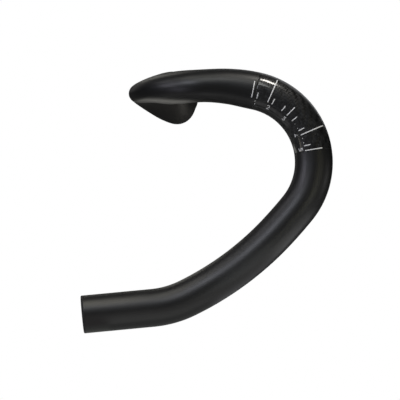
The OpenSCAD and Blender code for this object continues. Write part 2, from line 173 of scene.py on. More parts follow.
def soft_max(f, fd, g, gd, d):
    m = np.maximum(f, g)
    ef, eg = np.exp(SOFT * (f - m)), np.exp(SOFT * (g - m))
    return m + np.log((ef + eg) / (1 + np.exp(-SOFT * d))) / SOFT, (ef * fd + eg * gd) / (ef + eg)


def egg(q, a, inset=0.0):
    ca, sa = np.cos(a), np.sin(a)
    def sup(k): return q[k] * ca + q[k + 1] * sa + q[k + 2], -q[k] * sa + q[k + 1] * ca
    def gap(k): return abs(q[k] - q[1]) + abs(q[k + 1] - q[2]) + abs(q[k + 2] - q[3])
    f, fd = sup(1)
    g, gd = sup(4)
    u, ud = sup(7)
    h, hd = soft_max(f, fd, u, ud, gap(7))
    h, hd = soft_max(h, hd, g, gd, gap(4))
    h = h - inset
    return h * ca - hd * sa, h * sa + hd * ca


def wall_at(s):
    return (CLAMP_WALL + (TOP_WALL - CLAMP_WALL) * ease((s - 38) / 30) + (WALL - TOP_WALL) * ease((s - S_RAMP) / 20))


# ------------------------------------------------------------------ mesh helpers
def add_mesh(name, verts, faces, uvs=None, smooth=True, angle=32.0):
    """verts in mm, faces as index tuples, uvs as one (u, v) per face corner, in mm."""
    me = bpy.data.meshes.new(name)
    me.from_pydata((np.asarray(verts, float) * MM).tolist(), [], [tuple(int(i) for i in f) for f in faces])
    if uvs is not None:
        lay = me.uv_layers.new(name="mm")
        lay.data.foreach_set("uv", np.asarray(uvs, np.float32).ravel())
    me.validate()
    me.update()
    ob = bpy.data.objects.new(name, me)
    scene.collection.objects.link(ob)
    if smooth:
        me.polygons.foreach_set("use_smooth", [True] * len(me.polygons))
        me.set_sharp_from_angle(angle=math.radians(angle))
    return ob


def fix_normals(ob):
    import bmesh
    bm = bmesh.new()
    bm.from_mesh(ob.data)
    bmesh.ops.recalc_face_normals(bm, faces=bm.faces)
    bm.to_mesh(ob.data)
    bm.free()
    ob.data.update()
    return ob


def tube_mesh(name, rings, ring_v, ring_u, closed_path=False, flip=False, caps=True):
    """Skins a list of rings (each n x 3). ring_u: length coordinate of each ring, ring_v: (n + 1) girth coordinates per ring."""
    k, n = len(rings), len(rings[0])
    V = np.concatenate(rings)
    F, UV = [], []
    for j in range(k - 1 if not closed_path else k):
        jn = (j + 1) % k
        u0, u1 = ring_u[j], ring_u[j + 1]
        for i in range(n):
            i2 = (i + 1) % n
            F.append((j * n + i, j * n + i2, jn * n + i2, jn * n + i))
            UV += [(ring_v[j][i], u0), (ring_v[j][i + 1], u0), (ring_v[(j + 1) % k][i + 1], u1), (ring_v[(j + 1) % k][i], u1)]
    return V, F, UV


def resample(P, n):
    """Evenly spaced points round a closed loop, starting at its first point; returns points and girth coordinates."""
    Q = np.vstack([P, P[:1]])
    d = np.r_[0, np.cumsum(np.linalg.norm(np.diff(Q, axis=0), axis=1))]
    t = np.linspace(0, d[-1], n + 1)
    out = np.stack([np.interp(t, d, Q[:, k]) for k in range(3)], axis=1)[:-1]
    return out, t


# ------------------------------------------------------------------ sweep along the drop curve
def drop_station(h=None, back=None):
    """Centre, outboard axis and outer (away from the bend centre) axis at heading h, or at a distance back along the grip."""
    if back is not None:
        p = grip_p - back * np.array([cs(SLOPE), sn(SLOPE)])
        h = SLOPE
    else:
        if h >= H2B:
            p = on_arc(hook_c, HOOK_R, h)
        elif h >= H2:
            p = on_arc(lift_c, LIFT_R, h)
        elif h >= H1:
            p = on_arc(rise_c, RISE_R, h)
        else:
            p = on_arc(palm_c, PALM_R, h)
    return pos3(p), dir3(0, 0, 1), dir3(sn(h), -cs(h))


def circle(st, r, n, phase=0.0):
    P, o, e = st
    a = phase + 2 * math.pi * np.arange(n) / n
    return P + r * (np.cos(a)[:, None] * o + np.sin(a)[:, None] * e)


def mirror_obj(ob, name):
    """The other hand of a piece: its mirror image about the middle plane, with its faces turned right side out."""
    me = ob.data.copy()
    me.name = name
    co = np.empty(len(me.vertices) * 3, np.float32)
    me.vertices.foreach_get("co", co)
    co[0::3] *= -1
    me.vertices.foreach_set("co", co)
    me.flip_normals()
    me.update()
    new = bpy.data.objects.new(name, me)
    scene.collection.objects.link(new)
    return new


# ------------------------------------------------------------------ node material builder
class Mat:
    def __init__(self, name):
        self.m = bpy.data.materials.new(name)
        self.m.use_nodes = True
        self.t = self.m.node_tree
        self.t.nodes.clear()
        self.out = self.t.nodes.new("ShaderNodeOutputMaterial")
        self.b = self.t.nodes.new("ShaderNodeBsdfPrincipled")
        self.t.links.new(self.b.outputs[0], self.out.inputs[0])

    def put(self, sock, v):
        if v is None:
            return
        if isinstance(v, bpy.types.NodeSocket):
            self.t.links.new(v, sock)
        else:
            if sock.type == "RGBA" and not hasattr(v, "__len__"):
                v = (v, v, v, 1)
            elif sock.type == "RGBA" and len(v) == 3:
                v = (*v, 1)
            sock.default_value = v

    def n(self, kind, ins=None, out=0, **props):
        nd = self.t.nodes.new(kind)
        for k, v in props.items():
            setattr(nd, k, v)
        for k, v in (ins or {}).items():
            self.put(nd.inputs[k], v)
        return nd.outputs[out]

    def math(self, op, a, b=None, c=None, clamp=False):
        ins = {0: a}
        if b is not None:
            ins[1] = b
        if c is not None:
            ins[2] = c
        return self.n("ShaderNodeMath", ins, operation=op, use_clamp=clamp)

    def add(self, a, b): return self.math("ADD", a, b)
    def sub(self, a, b): return self.math("SUBTRACT", a, b)
    def mul(self, a, b): return self.math("MULTIPLY", a, b)
    def mod(self, a, b): return self.math("FLOORED_MODULO", a, b)
    def fract(self, a): return self.math("FRACT", a)

    def mix(self, f, a, b):
        """Float blend."""
        nd = self.t.nodes.new("ShaderNodeMix")
        nd.data_type = "FLOAT"
        for i, v in enumerate((f, a, b)):
            self.put([s for s in nd.inputs if s.type == "VALUE"][i], v)
        return [s for s in nd.outputs if s.type == "VALUE"][0]

    def mixc(self, f, a, b):
        nd = self.t.nodes.new("ShaderNodeMix")
        nd.data_type = "RGBA"
        self.put(nd.inputs[0], f)
        cols = [s for s in nd.inputs if s.type == "RGBA"]
        self.put(cols[0], a)
        self.put(cols[1], b)
        return [s for s in nd.outputs if s.type == "RGBA"][0]

    def ramp(self, v, lo, hi, a=0.0, b=1.0):
        return self.n("ShaderNodeMapRange", {0: v, 1: lo, 2: hi, 3: a, 4: b}, clamp=True)

    def uv(self):
        """UV in mm: u round the girth, v along the length."""
        vec = self.n("ShaderNodeUVMap", uv_map="mm")
        sep = self.t.nodes.new("ShaderNodeSeparateXYZ")
        self.t.links.new(vec, sep.inputs[0])
        return sep.outputs[0], sep.outputs[1]

    def vec(self, x, y, z=0.0): return self.n("ShaderNodeCombineXYZ", {0: x, 1: y, 2: z})

    def noise(self, vec, scale, detail=2.0, rough=0.5, dist=0.0):
        return self.n("ShaderNodeTexNoise", {"Vector": vec, "Scale": scale, "Detail": detail, "Roughness": rough, "Distortion": dist})

    def obj(self, sx=1.0, sy=1.0, sz=1.0):
        """Object coordinates in millimetres, stretched."""
        c = self.n("ShaderNodeTexCoord", out=3)
        return self.n("ShaderNodeMapping", {0: c, 3: (1000 * sx, 1000 * sy, 1000 * sz)}, vector_type="POINT")

    def bump(self, h, strength, dist, normal=None):
        ins = {"Strength": strength, "Distance": dist, "Height": h}
        nd = self.t.nodes.new("ShaderNodeBump")
        for k, v in ins.items():
            self.put(nd.inputs[k], v)
        if normal is not None:
            self.put(nd.inputs["Normal"], normal)
        return nd.outputs[0]

    def set(self, **kw):
        names = {"base": "Base Color", "rough": "Roughness", "metal": "Metallic", "normal": "Normal", "coat": "Coat Weight",
                 "coat_rough": "Coat Roughness", "coat_normal": "Coat Normal", "aniso": "Anisotropic", "spec": "Specular IOR Level",
                 "sheen": "Sheen Weight", "sheen_rough": "Sheen Roughness", "ior": "IOR", "tint": "Specular Tint", "rot": "Anisotropic Rotation",
                 "sss": "Subsurface Weight"}
        for k, v in kw.items():
            self.put(self.b.inputs[names[k]], v)
        return self.m


def mat_satin():
    """Matt clear coat over unidirectional carbon: faint fibre streaks along the tube, orange-peel lacquer and a fine matting grain."""
    g = Mat("satin_lacquered_carbon")
    u, v = g.uv()
    streak = g.noise(g.vec(g.mul(u, 3.2), g.mul(v, 0.06), 0.0), 1.0, 4.0, 0.62)
    lane = g.noise(g.vec(g.mul(u, 0.33), g.mul(v, 0.012), 3.0), 1.0, 1.0, 0.5)
    cloud = g.noise(g.obj(), 0.035, 2.0, 0.5)
    k = g.add(g.mul(g.sub(streak, 0.5), 0.55), g.mul(g.sub(lane, 0.5), 0.35))
    base = g.mixc(g.ramp(k, -0.22, 0.22), (0.0058, 0.0060, 0.0064), (0.0100, 0.0101, 0.0101))
    grain = g.noise(g.obj(), 5.5, 3.0, 0.7)
    peel = g.noise(g.obj(), 0.55, 2.0, 0.5)
    rough = g.add(g.add(0.405, g.mul(g.sub(cloud, 0.5), 0.10)), g.mul(g.sub(grain, 0.5), 0.10))
    nb = g.bump(peel, 0.30, 0.00003)
    nb = g.bump(grain, 0.35, 0.000012, nb)
    nb = g.bump(streak, 0.25, 0.000012, nb)
    return g.set(base=base, rough=rough, normal=nb, spec=0.5, coat=0.12, coat_rough=0.36, coat_normal=g.bump(peel, 0.3, 0.00002))


def mat_woven():
    """Two-by-two twill cloth under a deep gloss coat: tows alternate direction, each with its own crown, tilt and fibre
    lines. Its colour holds painted sheen, with tows lighter one way than the other, and painted shade between the tows.
    """
    g = Mat("gloss_twill_carbon")
    u, v = g.uv()
    tow_u, tow_v = 2 * math.pi * TR / 48, HOOK_R * math.radians(H3 - WRAP_END) / 36
    wob = g.noise(g.vec(u, v, 0.0), 0.11, 2.0, 0.5)
    a = g.math("DIVIDE", u, tow_u)
    b = g.add(g.math("DIVIDE", v, tow_v), g.mul(g.sub(wob, 0.5), 0.35))
    ia, ib = g.math("FLOOR", a), g.math("FLOOR", b)
    fa, fb = g.fract(a), g.fract(b)
    over = g.math("LESS_THAN", g.mod(g.add(ia, ib), 4.0), 1.5)
    # crown across the tow, and dip where it passes under its neighbour
    def crown(f): return g.math("SINE", g.mul(f, math.pi))
    pa = g.math("SINE", g.mul(g.add(g.mod(g.sub(a, g.mul(ib, -1.0)), 4.0), 0.0), math.pi / 2))
    warp_h = g.mul(g.math("POWER", crown(fa), 0.55), g.add(0.75, g.mul(g.math("ABSOLUTE", g.math("SINE", g.mul(g.add(b, ia), math.pi / 2))), 0.25)))
    weft_h = g.mul(g.math("POWER", crown(fb), 0.55), g.add(0.75, g.mul(g.math("ABSOLUTE", g.math("SINE", g.mul(g.add(a, ib), math.pi / 2))), 0.25)))
    height = g.mix(over, weft_h, warp_h)
    fib_a = g.noise(g.vec(g.mul(u, 14.0), g.mul(v, 0.8), 0.0), 1.0, 2.0, 0.6)
    fib_b = g.noise(g.vec(g.mul(u, 0.8), g.mul(v, 14.0), 7.0), 1.0, 2.0, 0.6)
    fib = g.mix(over, fib_b, fib_a)
    tow_id = g.n("ShaderNodeTexWhiteNoise", {"Vector": g.vec(g.mix(over, 0.0, ia), g.mix(over, ib, 0.0), over)}, noise_dimensions="3D")
    spot = g.n("ShaderNodeTexWhiteNoise", {"Vector": g.vec(ia, ib, over)}, noise_dimensions="3D")
    # painted sheen: tows lying one way are lighter than tows lying the other way, in place of the fibres' directional
    # reflection; each tow also gets a random tone
    tow_tone_and_sheen = g.add(g.mul(over, 0.25), g.add(g.mul(tow_id, 0.20), g.mul(g.mul(spot, spot), 0.55)))
    base = g.mixc(tow_tone_and_sheen, (0.0030, 0.0030, 0.0032), (0.030, 0.0305, 0.0315))
    # painted shade: the cloth goes near black along the low edges of each tow, between neighbouring tows
    base = g.mixc(g.ramp(height, 0.15, 0.6), (0.003, 0.003, 0.003), base)
    rough = g.add(0.30, g.mul(fib, 0.22))
    nb = g.bump(height, 0.55, 0.00012)
    nb = g.bump(fib, 0.25, 0.00003, nb)
    ripple = g.noise(g.obj(), 0.30, 3.0, 0.55)
    cn = g.bump(ripple, 0.35, 0.00010)
    cn = g.bump(height, 0.10, 0.00004, cn)
    return g.set(base=base, rough=rough, normal=nb, spec=0.35, aniso=0.6, rot=g.mix(over, 0.25, 0.0),
                 coat=1.0, coat_rough=g.add(0.085, g.mul(g.noise(g.obj(), 1.1, 3.0, 0.6), 0.05)), coat_normal=cn)


def mat_ink(name, col, rough):
    """Screen-printed ink: slightly uneven film with pinholes and a soft tooth."""
    g = Mat(name)
    pin = g.noise(g.obj(), 9.0, 2.0, 0.6)
    film = g.noise(g.obj(), 1.2, 2.0, 0.5)
    dark = tuple(c * 0.86 for c in col)
    base = g.mixc(g.ramp(film, 0.25, 0.7), dark, col)
    base = g.mixc(g.ramp(pin, 0.66, 0.74), base, tuple(c * 0.45 for c in col))
    return g.set(base=base, rough=g.add(rough, g.mul(g.sub(film, 0.5), 0.2)), normal=g.bump(pin, 0.3, 0.00002), spec=0.4)


def mat_grit():
    """Moulded-in grip band: hard grit in a matt resin."""
    g = Mat("clamp_grit_band")
    p = g.obj()
    cell = g.n("ShaderNodeTexVoronoi", {"Vector": p, "Scale": 2.6, "Randomness": 1.0}, feature="F1")
    fine = g.noise(p, 4.0, 3.0, 0.65)
    grit = g.ramp(cell, 0.05, 0.42, 1.0, 0.0)
    base = g.mixc(grit, (0.010, 0.010, 0.0105), (0.048, 0.047, 0.045))
    base = g.mixc(g.ramp(fine, 0.62, 0.75), base, (0.10, 0.098, 0.094))
    nb = g.bump(grit, 0.8, 0.00010)
    nb = g.bump(fine, 0.5, 0.00004, nb)
    return g.set(base=base, rough=g.mix(grit, 0.82, 0.55), normal=nb, spec=0.4)


def mat_plastic():
    """Glass-filled nylon: spark-eroded mould texture, slightly lighter where it has rubbed."""
    g = Mat("moulded_nylon")
    p = g.obj()
    spark = g.noise(p, 3.2, 4.0, 0.7)
    flow = g.noise(p, 0.25, 2.0, 0.6, 0.6)
    base = g.mixc(g.ramp(flow, 0.3, 0.7), (0.0135, 0.0135, 0.014), (0.024, 0.024, 0.0245))
    return g.set(base=base, rough=g.add(0.46, g.mul(spark, 0.16)), normal=g.bump(spark, 0.55, 0.00003), spec=0.45)


def mat_rubber():
    """Dark elastomer with moulding bloom and fine flow rings."""
    g = Mat("expander_rubber")
    u, v = g.uv()
    ring = g.noise(g.vec(0.0, g.mul(v, 2.2), 0.0), 1.0, 3.0, 0.6)
    bloom = g.noise(g.obj(), 0.35, 3.0, 0.6)
    tooth = g.noise(g.obj(), 6.0, 2.0, 0.6)
    base = g.mixc(g.ramp(bloom, 0.35, 0.75), (0.016, 0.016, 0.0165), (0.036, 0.036, 0.037))
    nb = g.bump(tooth, 0.5, 0.00003)
    return g.set(base=base, rough=g.add(0.66, g.mul(bloom, 0.2)), normal=g.bump(ring, 0.3, 0.00004, nb), spec=0.35, sheen=0.15, sheen_rough=0.5)


def mat_alloy():
    """Turned aluminium cone: feed marks round the axis, a little tarnish."""
    g = Mat("turned_alloy")
    u, v = g.uv()
    feed = g.math("SINE", g.mul(v, 2 * math.pi / 0.18))
    tool = g.noise(g.vec(g.mul(u, 0.02), g.mul(v, 7.0), 0.0), 1.0, 3.0, 0.6)
    tarnish = g.noise(g.obj(), 0.30, 3.0, 0.6)
    base = g.mixc(g.ramp(tarnish, 0.3, 0.75), (0.60, 0.60, 0.61), (0.42, 0.42, 0.43))
    nb = g.bump(feed, 0.25, 0.000008)
    return g.set(base=base, metal=1.0, rough=g.add(0.24, g.mul(tool, 0.22)), normal=g.bump(tool, 0.3, 0.00001, nb), aniso=0.5)


def mat_steel():
    """Black-oxide steel: mottled finish, brighter where the edges have worn."""
    g = Mat("black_oxide_steel")
    geo = g.t.nodes.new("ShaderNodeNewGeometry")
    edge = g.ramp(geo.outputs["Pointiness"], 0.53, 0.62)
    mot = g.noise(g.obj(), 0.9, 4.0, 0.65)
    fine = g.noise(g.obj(), 7.0, 2.0, 0.6)
    wear = g.math("MULTIPLY", edge, g.ramp(mot, 0.35, 0.65), clamp=True)
    base = g.mixc(g.ramp(mot, 0.3, 0.7), (0.030, 0.030, 0.033), (0.060, 0.059, 0.060))
    base = g.mixc(wear, base, (0.36, 0.35, 0.34))
    return g.set(base=base, metal=g.mix(wear, 0.75, 1.0), rough=g.add(0.30, g.mul(fine, 0.18)), normal=g.bump(fine, 0.3, 0.00001))


def mat_raw():
    """Uncoated carbon: the cut edge and the bladder side of the moulding, dry and slightly wrinkled."""
    g = Mat("raw_carbon")
    p = g.obj()
    lam = g.noise(p, 1.6, 4.0, 0.65)
    wrk = g.noise(p, 0.16, 3.0, 0.6, 1.2)
    base = g.mixc(g.ramp(lam, 0.3, 0.7), (0.0075, 0.0075, 0.0078), (0.019, 0.019, 0.0195))
    nb = g.bump(wrk, 0.5, 0.00025)
    return g.set(base=base, rough=g.add(0.55, g.mul(lam, 0.25)), normal=g.bump(lam, 0.4, 0.00005, nb), spec=0.35)


M_SATIN, M_WOVEN, M_RAW = mat_satin(), mat_woven(), mat_raw()
M_WHITE = mat_ink("white_print", (0.95, 0.95, 0.94), 0.42)
M_GREY = mat_ink("grey_print", (0.90, 0.90, 0.89), 0.45)
M_GRIT, M_PLASTIC, M_RUBBER, M_ALLOY, M_STEEL = mat_grit(), mat_plastic(), mat_rubber(), mat_alloy(), mat_steel()


def piece(ob, body, node, slot, *mats):
    for m in mats:
        ob.data.materials.append(m)
    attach(ob, body)
    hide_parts(node)
    return ob


# ------------------------------------------------------------------ centre section: tops, corners and ramps in one hollow moulding
def body_ring(s, inset, n):
    P, o, e = frame_at(abs(s))
    f, w = egg(shape_at(abs(s)), np.linspace(0, 2 * math.pi, 1440, endpoint=False), inset)
    ring = P + f[:, None] * o + w[:, None] * e
    if s < 0:
        ring[:, 0] *= -1
    return resample(ring, n)


def make_centre():
    half = list(np.arange(0.75, S_JOINT - 0.4, 1.5)) + [S_JOINT - 0.15, S_JOINT]
    st = [-s for s in reversed(half)] + half
    n = 176
    rings, gv = zip(*[body_ring(s, 0.0, n) for s in st])
    rings, gv = list(rings), list(gv)
    # tiny round on the joint edge
    rings[0], rings[-1] = body_ring(st[0], 0.10, n)[0], body_ring(st[-1], 0.10, n)[0]
    V, F, UV = tube_mesh("c", rings, gv, st)
    m = 88
    ist = [st[0]] + [s for s in st[1:-1:2]] + [st[-1]]
    irings, igv = zip(*[body_ring(s, wall_at(abs(s)), m) for s in ist])
    V2, F2, UV2 = tube_mesh("i", list(irings), list(igv), ist)
    off = len(V)
    F2 = [tuple(off + i for i in reversed(f)) for f in F2]
    UV2 = [c for k in range(0, len(UV2), 4) for c in reversed(UV2[k:k + 4])]
    V, F, UV = np.vstack([V, V2]), F + F2, UV + UV2
    # annular end faces, twice as many points outside as inside
    for last, a0, b0 in ((False, 0, off), (True, (len(st) - 1) * n, off + (len(ist) - 1) * m)):
        for i in range(m):
            o1, o2, o3 = a0 + 2 * i, a0 + 2 * i + 1, a0 + (2 * i + 2) % n
            i1, i2 = b0 + i, b0 + (i + 1) % m
            new = [(i1, o2, o1), (i1, i2, o2), (i2, o3, o2)]
            new = [tuple(reversed(f)) for f in new] if last else new
            F += new
            UV += [(V[k][0], V[k][2]) for f in new for k in f]
    ob = add_mesh("centre_shell", V, F, UV, angle=38)
    fix_normals(ob)
    ends = len(F) - 6 * m
    return ob, len(rings[0]) * (len(st) - 1), ends


centre, n_outer, n_ends = make_centre()
piece(centre, "bar", "centre_section", "satin_carbon", M_SATIN, M_RAW)
for p in centre.data.polygons:
    if p.index >= n_outer:
        p.material_index = 1


# ------------------------------------------------------------------ drops: constant tube, recessed under the lever zone
def drop_path():
    """Stations from the joint to the bar end: (distance, station, outer radius, bore radius)."""
    arcs = [(H3, H2B, HOOK_R), (H2B, H2, LIFT_R), (H2, H1, RISE_R), (H1, SLOPE, PALM_R)]
    out, d = [], 0.0
    for a, b, r in arcs:
        L = r * math.radians(a - b)
        k = max(2, int(round(L / 1.2)))
        for j in range(k):
            out.append((d + L * j / k, a + (b - a) * j / k, None))
        d += L
    k = 34
    for j in range(k):
        out.append((d + (GRIP - 1.2) * j / k, None, (GRIP - 1.2) * j / k))
    return out, d


def make_drop():
    n = 104
    path, d_grip = drop_path()
    wrap_d = HOOK_R * math.radians(H3 - WRAP_END)
    rows = []
    for d, h, back in path:
        if d <= wrap_d - 0.2:
            rows.append((d, drop_station(h=h, back=back), UNDER))
        elif d >= wrap_d + 0.2:
            rows.append((d, drop_station(h=h, back=back), TR))
    i = next(k for k, r in enumerate(rows) if r[2] == TR)
    st = drop_station(h=WRAP_END)
    st2 = drop_station(h=WRAP_END - math.degrees(0.12 / HOOK_R))
    rows[i:i] = [(wrap_d, st, UNDER), (wrap_d + 0.01, st, TR - 0.10), (wrap_d + 0.12, st2, TR)]
    for back, r in ((1.15, TR), (0.80, TR), (0.52, TR - 0.04), (0.28, TR - 0.15), (0.10, TR - 0.33), (0.0, TR - 0.60)):
        rows.append((d_grip + GRIP - back, drop_station(back=GRIP - back), r))
    rows.append((d_grip + GRIP, drop_station(back=GRIP), TR - 0.95))
    rows.append((d_grip + GRIP, drop_station(back=GRIP), BORE + 0.30))
    outer_n = len(rows)
    rows.append((d_grip + GRIP - 0.30, drop_station(back=GRIP - 0.30), BORE))
    inner = [(d, drop_station(h=h, back=back), BORE) for d, h, back in path[::-2]]
    rows += inner
    if path[::-2][-1][0] > 0:
        rows.append((0.0, drop_station(h=H3), BORE))
    rings = [circle(st, r, n) for d, st, r in rows]
    ring_v = [r * 2 * math.pi * np.arange(n + 1) / n for d, st, r in rows]
    V, F, UV = tube_mesh("d", rings, ring_v, [r[0] for r in rows], closed_path=False)
    a, b = 0, (len(rows) - 1) * n
    for i in range(n):
        F.append((b + i, b + (i + 1) % n, a + (i + 1) % n, a + i))
        UV += [(0, 0)] * 4
    ob = add_mesh("right_drop_tube", V, F, UV, angle=34)
    fix_normals(ob)
    edge0 = (next(k for k, r in enumerate(rows) if abs(r[0] - (d_grip + GRIP - 0.80)) < 1e-6)) * n
    for p in ob.data.polygons:
        if p.index >= edge0:
            p.material_index = 1
    return ob


def make_wrap():
    """The woven band on the hook: its own thin sleeve with rounded edges."""
    n = 192
    k = 96
    hs = np.linspace(H3, WRAP_END, k + 1)
    rows = []
    e = math.degrees(0.06 / HOOK_R)
    ri = TR - WRAP_T
    rows += [(hs[0] - 0.2 * e, ri), (hs[0], ri + 0.05), (hs[0], TR - 0.07), (hs[0] - 0.35 * e, TR - 0.02), (hs[0] - e, TR)]
    rows += [(h, TR) for h in hs[1:-1]]
    rows += [(hs[-1] + e, TR), (hs[-1] + 0.35 * e, TR - 0.02), (hs[-1], TR - 0.07), (hs[-1], ri + 0.05), (hs[-1] + 0.2 * e, ri)]
    outer = len(rows)
    rows += [(h, ri) for h in hs[-4:0:-4]]
    rings = [circle(drop_station(h=h), r, n) for h, r in rows]
    ring_v = [TR * 2 * math.pi * np.arange(n + 1) / n for _ in rows]
    V, F, UV = tube_mesh("w", rings, ring_v, [HOOK_R * math.radians(H3 - h) for h, r in rows] , closed_path=False)
    a, b = 0, (len(rows) - 1) * n
    for i in range(n):
        F.append((b + i, b + (i + 1) % n, a + (i + 1) % n, a + i))
        UV += [(0, 0)] * 4
    ob = add_mesh("right_lever_zone", V, F, UV, angle=40)
    return fix_normals(ob)


SIDES = (("right", 1), ("left", -1))
drop, wrap = make_drop(), make_wrap()
piece(drop, "bar", "right_drop", "satin_carbon", M_SATIN, M_RAW)
piece(mirror_obj(drop, "left_drop_tube"), "bar", "left_drop", "satin_carbon")
piece(wrap, "bar", "right_lever_wrap", "woven_carbon", M_WOVEN)
piece(mirror_obj(wrap, "left_lever_zone"), "bar", "left_lever_wrap", "woven_carbon")


# ------------------------------------------------------------------ printed scale on the lever zone
def surf(h, g, r):
    """Point on the tube: heading h or ramp heading, girth angle g from the outboard line, radius r."""
    if h > H3:
        P, o, e = pos3(on_arc(ramp_c, RAMP_R, h)), dir3(0, 0, 1), dir3(sn(h), -cs(h))
    else:
        P, o, e = drop_station(h=h)
    return P + r * (cs(g) * o + sn(g) * e)


def body_surf(h, g, lift):
    """Point on the moulded ramp just behind the joint, lifted off its real section."""
    s = S_RAMP + RAMP_R * math.radians(180 - h)
    P, o, e = frame_at(s)
    a = np.linspace(0, 2 * math.pi, 721)
    f, w = egg(shape_at(s), a, -lift)
    R = P + f[:, None] * o + w[:, None] * e
    C = pos3(on_arc(ramp_c, RAMP_R, h))
    od, ed = dir3(0, 0, 1), dir3(sn(h), -cs(h))
    ang = np.degrees(np.arctan2((R - C) @ ed, (R - C) @ od))
    best = np.argsort(np.abs((ang - g + 180) % 360 - 180))[:2]
    d = [(ang[k] - g + 180) % 360 - 180 for k in best]
    t = abs(d[0]) / max(1e-9, abs(d[0]) + abs(d[1])) if d[0] * d[1] < 0 else 0
    return R[best[0]] * (1 - t) + R[best[1]] * t


class Slab:
    """Collects thin raised strips that follow the tube, as closed solids with a small edge round."""
    def __init__(self, under=0.03, top=INK_T):
        self.V, self.F, self.under, self.top = [], [], under, top

    def grid(self, place, us, vs):
        """place(u, v, lift) -> point. A closed slab over the grid us x vs (ends included)."""
        nu, nv = len(us), len(vs)
        base = len(self.V)
        du, dv = (us[-1] - us[0]), (vs[-1] - vs[0])
        for lift in (-self.under, self.top):
            for u in us:
                for v in vs:
                    uu, vv = u, v
                    edge = lift > 0 and (u in (us[0], us[-1]) or v in (vs[0], vs[-1]))
                    self.V.append(place(uu, vv, lift * (0.45 if edge else 1.0)))
        def idx(k, i, j): return base + k * nu * nv + i * nv + j
        for i in range(nu - 1):
            for j in range(nv - 1):
                self.F.append((idx(1, i, j), idx(1, i + 1, j), idx(1, i + 1, j + 1), idx(1, i, j + 1)))
                self.F.append((idx(0, i, j), idx(0, i, j + 1), idx(0, i + 1, j + 1), idx(0, i + 1, j)))
        for i in range(nu - 1):
            self.F.append((idx(0, i, 0), idx(0, i + 1, 0), idx(1, i + 1, 0), idx(1, i, 0)))
            self.F.append((idx(0, i + 1, nv - 1), idx(0, i, nv - 1), idx(1, i, nv - 1), idx(1, i + 1, nv - 1)))
        for j in range(nv - 1):
            self.F.append((idx(0, 0, j + 1), idx(0, 0, j), idx(1, 0, j), idx(1, 0, j + 1)))
            self.F.append((idx(0, nu - 1, j), idx(0, nu - 1, j + 1), idx(1, nu - 1, j + 1), idx(1, nu - 1, j)))

    def make(self, name):
        ob = add_mesh(name, np.array(self.V), self.F, angle=50)
        return fix_normals(ob)


def lin(a, b, step):
    k = max(1, int(math.ceil(abs(b - a) / step)))
    return [a + (b - a) * j / k for j in range(k + 1)]


TICKS = [(168.7, 27.0), (166.2, -6.6), (156.0, 61.0), (151.9, -6.6), (141.5, -6.6), (135.3, 9.0), (128.7, -5.0),
         (118.1, -5.5), (113.9, 61.0), (103.8, -5.5), (99.6, 29.0)]
MARK_W, MARK_IN, DOTS = 0.62, -25.5, (124.9, 120.6, 110.7, 106.7)


def make_ticks():
    s = Slab()
    for h, g1 in TICKS:
        ramp = h > H3
        half = math.degrees(MARK_W / 2 / (RAMP_R if ramp else HOOK_R))
        hs = [h - half, h - half * 0.72, h, h + half * 0.72, h + half]
        gs = lin(MARK_IN, g1, 3.0)
        gs = [gs[0], gs[0] + 0.5] + gs[1:-1] + [gs[-1] - 0.5, gs[-1]]
        if ramp:
            s.grid(lambda a, g, l: body_surf(a, g, l), hs, gs)
        else:
            s.grid(lambda a, g, l: surf(a, g, TR + l), hs, gs)
    return s.make("right_scale_ticks")


# digit outlines on a 0.62 x 1 box as broken lines, then inked with a round pen
def digit_paths(d):
    def arc(cx, cy, rx, ry, a0, a1, k=14):
        return [(cx + rx * math.cos(math.radians(a0 + (a1 - a0) * i / k)), cy + ry * math.sin(math.radians(a0 + (a1 - a0) * i / k))) for i in range(k + 1)]
    if d == 1:
        return [[(0.12, 0.78), (0.36, 0.94), (0.36, 0.06)]]
    if d == 2:
        return [arc(0.31, 0.68, 0.24, 0.25, 165, -35) + [(0.07, 0.06), (0.57, 0.06)]]
    if d == 3:
        return [[(0.07, 0.94), (0.52, 0.94), (0.27, 0.58)] + arc(0.30, 0.32, 0.25, 0.26, 82, -150)]
    if d == 4:
        return [[(0.44, 0.06), (0.44, 0.94), (0.05, 0.30), (0.60, 0.30)]]
    return [[(0.53, 0.94), (0.13, 0.94), (0.09, 0.55)] + arc(0.30, 0.33, 0.26, 0.27, 115, -150)]


NUMERALS = [(1, 167.1), (2, 153.7), (3, 135.4), (4, 115.6), (5, 101.4)]
NUM_G, DIGIT_H, PEN = -40.5, 3.2, 0.40


